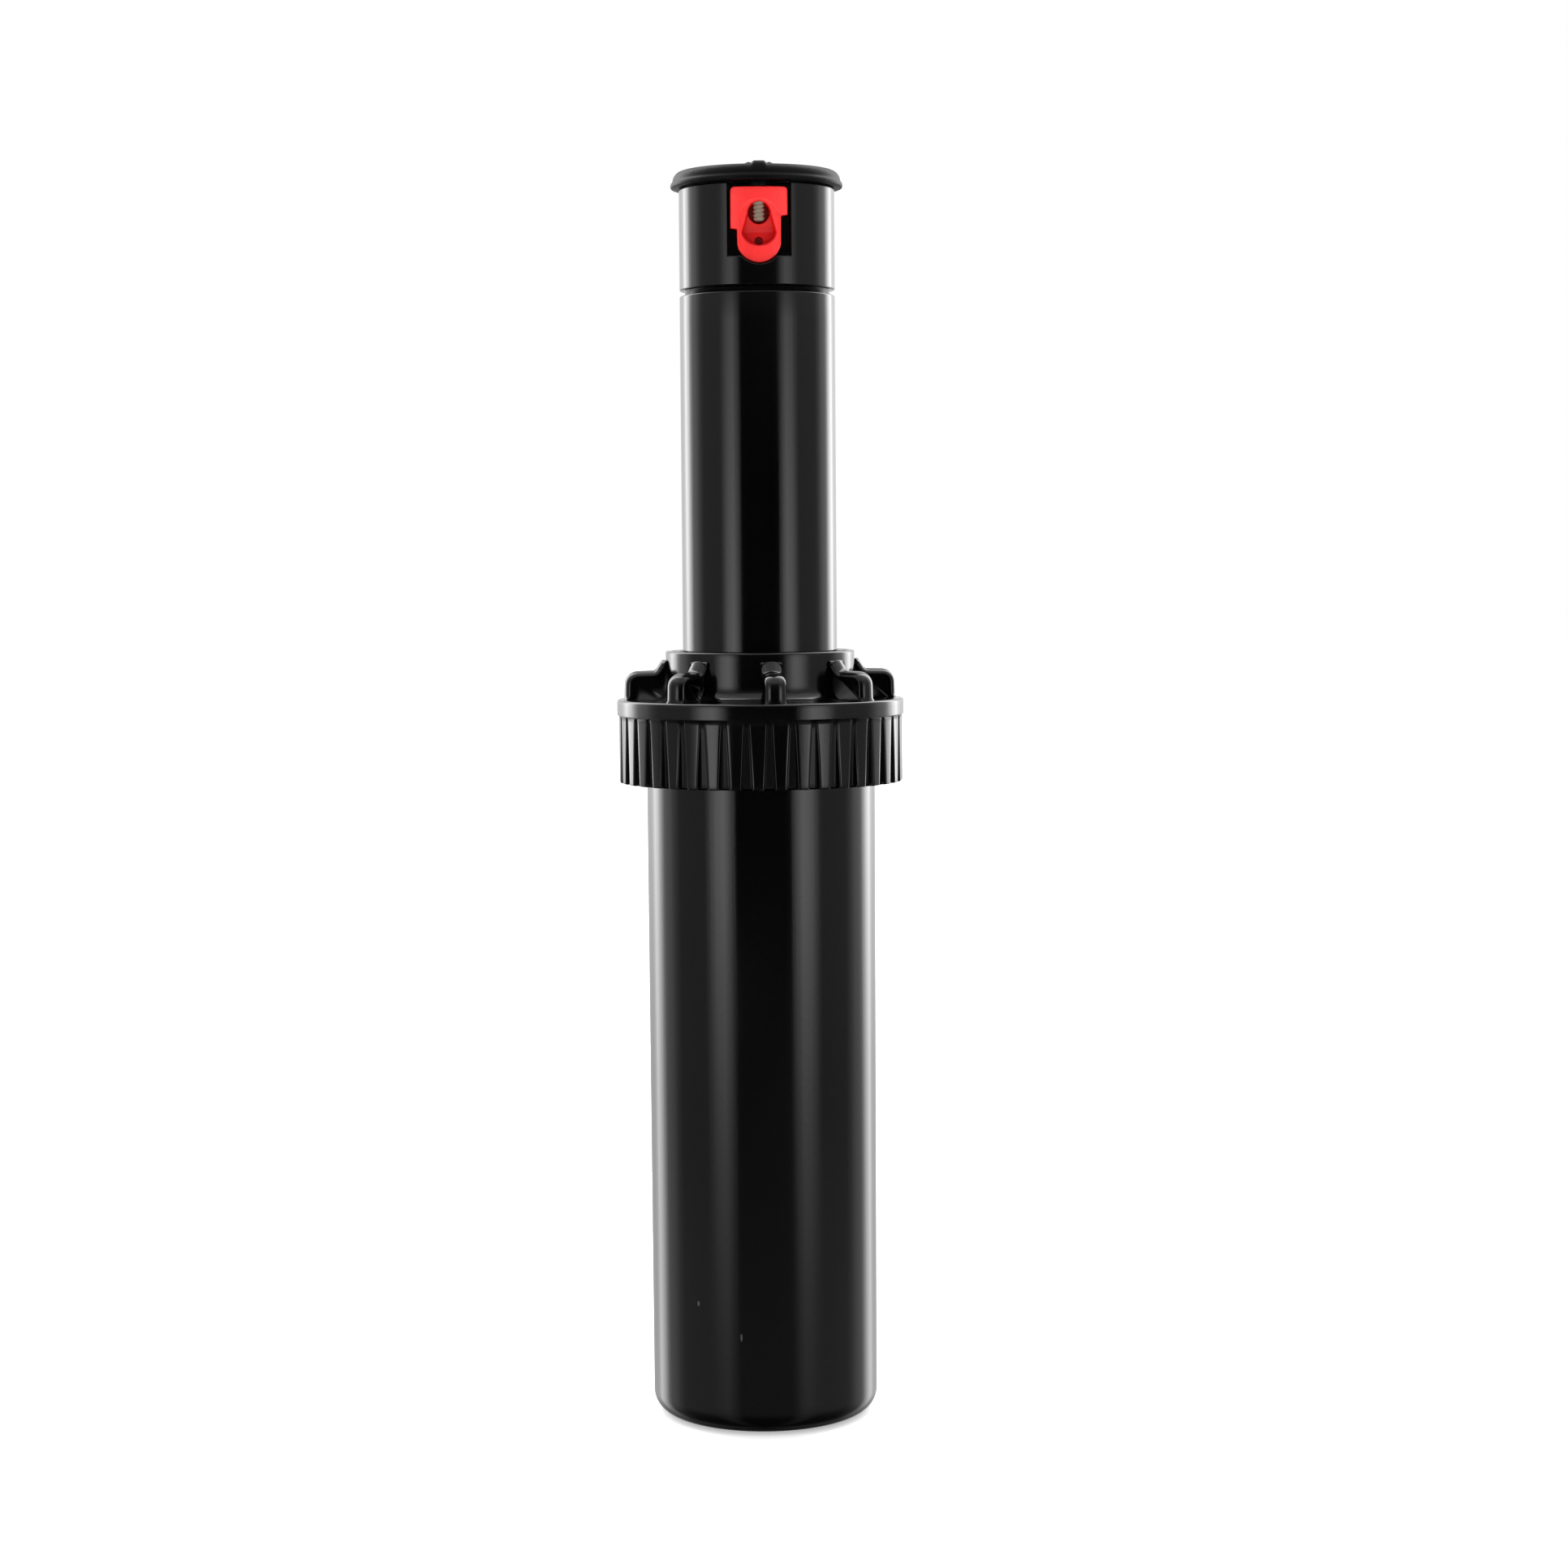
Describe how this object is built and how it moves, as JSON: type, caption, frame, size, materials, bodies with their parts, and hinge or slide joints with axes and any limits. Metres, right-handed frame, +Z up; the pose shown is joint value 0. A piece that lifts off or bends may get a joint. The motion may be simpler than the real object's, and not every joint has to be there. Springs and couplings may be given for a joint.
{
  "type": "pop up sprinkler",
  "caption": "Gear-driven pop-up rotor sprinkler with its riser up: threaded-inlet case, ribbed cap, sliding riser, turning turret with nozzle and adjusters.",
  "frame": {"origin": "centre of the base, on the surface it stands on", "axes": "+Z up along the riser, nozzle towards -Y"},
  "size_m": [0.0672, 0.0672, 0.2909],
  "materials": {
    "black_plastic": "gloss black moulded plastic",
    "cover_rubber": "satin black rubber",
    "seal_rubber": "matt black rubber",
    "red_plastic": "bright red moulded plastic",
    "white_acetal": "natural white acetal",
    "grey_acetal": "grey acetal",
    "steel": "stainless steel"
  },
  "bodies": {
    "case": {"case": "black_plastic", "body_cap": "black_plastic", "cap_gasket": "seal_rubber", "wiper_seal": "seal_rubber", "spring_washer": "steel", "retraction_spring": "steel"},
    "riser": {"riser_tube": "black_plastic", "ratchet_ring": "grey_acetal", "drain_check_seal": "seal_rubber", "filter_screen": "grey_acetal", "stator": "white_acetal", "gear_case": "black_plastic", "gear_case_bush": "steel", "gear_case_lid": "black_plastic", "bearing_plate": "black_plastic", "output_seal": "seal_rubber", "thrust_washer": "white_acetal"},
    "turret": {"output_carrier": "grey_acetal", "output_shaft": "grey_acetal", "turret_housing": "black_plastic", "nozzle": "red_plastic", "rubber_cover": "cover_rubber"},
    "turbine": {"turbine_wheel": "white_acetal", "turbine_shaft": "steel", "sun_gear": "white_acetal"},
    "carrier_1": {"carrier_1": "grey_acetal"},
    "carrier_2": {"carrier_2": "grey_acetal"},
    "radius_screw": {"radius_screw": "steel"},
    "arc_ring": {"arc_ring": "grey_acetal"},
    "arc_stem": {"arc_stem": "white_acetal"},
    "reversing_gear": {"trip_lever": "steel", "director_plate": "grey_acetal"},
    "planet_1a": {"planet_1a": "grey_acetal"},
    "planet_1b": {"planet_1b": "grey_acetal"},
    "planet_1c": {"planet_1c": "grey_acetal"},
    "planet_2a": {"planet_2a": "grey_acetal"},
    "planet_2b": {"planet_2b": "grey_acetal"},
    "planet_2c": {"planet_2c": "grey_acetal"},
    "planet_3a": {"planet_3a": "grey_acetal"},
    "planet_3b": {"planet_3b": "grey_acetal"},
    "planet_3c": {"planet_3c": "grey_acetal"}
  },
  "joints": [
    {"name": "riser_slide", "type": "slide", "parent": "case", "child": "riser", "axis": [0, 0, 1], "range_m": [-0.1064, 0], "deforming": ["retraction_spring"]},
    {"name": "turret_spin", "type": "hinge", "parent": "riser", "child": "turret", "pos_m": [0, 0, 0.26], "axis": [0, 0, 1], "continuous": true},
    {"name": "turbine_spin", "type": "hinge", "parent": "riser", "child": "turbine", "pos_m": [0, 0, 0.1734], "axis": [0, 0, 1], "continuous": true},
    {"name": "carrier_1_spin", "type": "hinge", "parent": "riser", "child": "carrier_1", "pos_m": [0, 0, 0.1868], "axis": [0, 0, 1], "continuous": true},
    {"name": "carrier_2_spin", "type": "hinge", "parent": "riser", "child": "carrier_2", "pos_m": [0, 0, 0.1938], "axis": [0, 0, 1], "continuous": true},
    {"name": "planet_1a_spin", "type": "hinge", "parent": "carrier_1", "child": "planet_1a", "pos_m": [0.00804, 0, 0.1834], "axis": [0, 0, 1], "continuous": true},
    {"name": "planet_1b_spin", "type": "hinge", "parent": "carrier_1", "child": "planet_1b", "pos_m": [-0.00402, 0.00696, 0.1834], "axis": [0, 0, 1], "continuous": true},
    {"name": "planet_1c_spin", "type": "hinge", "parent": "carrier_1", "child": "planet_1c", "pos_m": [-0.00402, -0.00696, 0.1834], "axis": [0, 0, 1], "continuous": true},
    {"name": "planet_2a_spin", "type": "hinge", "parent": "carrier_2", "child": "planet_2a", "pos_m": [0.00804, 0, 0.1904], "axis": [0, 0, 1], "continuous": true},
    {"name": "planet_2b_spin", "type": "hinge", "parent": "carrier_2", "child": "planet_2b", "pos_m": [-0.00402, 0.00696, 0.1904], "axis": [0, 0, 1], "continuous": true},
    {"name": "planet_2c_spin", "type": "hinge", "parent": "carrier_2", "child": "planet_2c", "pos_m": [-0.00402, -0.00696, 0.1904], "axis": [0, 0, 1], "continuous": true},
    {"name": "planet_3a_spin", "type": "hinge", "parent": "turret", "child": "planet_3a", "pos_m": [0.00804, 0, 0.1974], "axis": [0, 0, 1], "continuous": true},
    {"name": "planet_3b_spin", "type": "hinge", "parent": "turret", "child": "planet_3b", "pos_m": [-0.00402, 0.00696, 0.1974], "axis": [0, 0, 1], "continuous": true},
    {"name": "planet_3c_spin", "type": "hinge", "parent": "turret", "child": "planet_3c", "pos_m": [-0.00402, -0.00696, 0.1974], "axis": [0, 0, 1], "continuous": true},
    {"name": "radius_screw_slide", "type": "slide", "parent": "turret", "child": "radius_screw", "axis": [0, 0, 1], "range_m": [0, 0.0035]},
    {"name": "arc_ring_turn", "type": "hinge", "parent": "turret", "child": "arc_ring", "pos_m": [0, 0, 0.256], "axis": [0, 0, 1], "range_deg": [-100, 220]},
    {"name": "arc_stem_turn", "type": "hinge", "parent": "turret", "child": "arc_stem", "pos_m": [0, 0.01131, 0.256], "axis": [0, 0, 1], "range_deg": [-480.1, 1056.1]},
    {"name": "trip_lever_turn", "type": "hinge", "parent": "riser", "child": "reversing_gear", "pos_m": [0, 0, 0.248], "axis": [0, 0, 1], "range_deg": [0, 24]}
  ],
  "couplings": [
    {"joint": "turbine_spin", "follows": "turret_spin", "ratio": 91.125},
    {"joint": "carrier_1_spin", "follows": "turret_spin", "ratio": 20.25},
    {"joint": "carrier_2_spin", "follows": "turret_spin", "ratio": 4.5},
    {"joint": "planet_1a_spin", "follows": "turret_spin", "ratio": -56.7},
    {"joint": "planet_1b_spin", "follows": "turret_spin", "ratio": -56.7},
    {"joint": "planet_1c_spin", "follows": "turret_spin", "ratio": -56.7},
    {"joint": "planet_2a_spin", "follows": "turret_spin", "ratio": -12.6},
    {"joint": "planet_2b_spin", "follows": "turret_spin", "ratio": -12.6},
    {"joint": "planet_2c_spin", "follows": "turret_spin", "ratio": -12.6},
    {"joint": "planet_3a_spin", "follows": "turret_spin", "ratio": -2.8},
    {"joint": "planet_3b_spin", "follows": "turret_spin", "ratio": -2.8},
    {"joint": "planet_3c_spin", "follows": "turret_spin", "ratio": -2.8},
    {"joint": "arc_stem_turn", "follows": "arc_ring_turn", "ratio": 4.8}
  ]
}
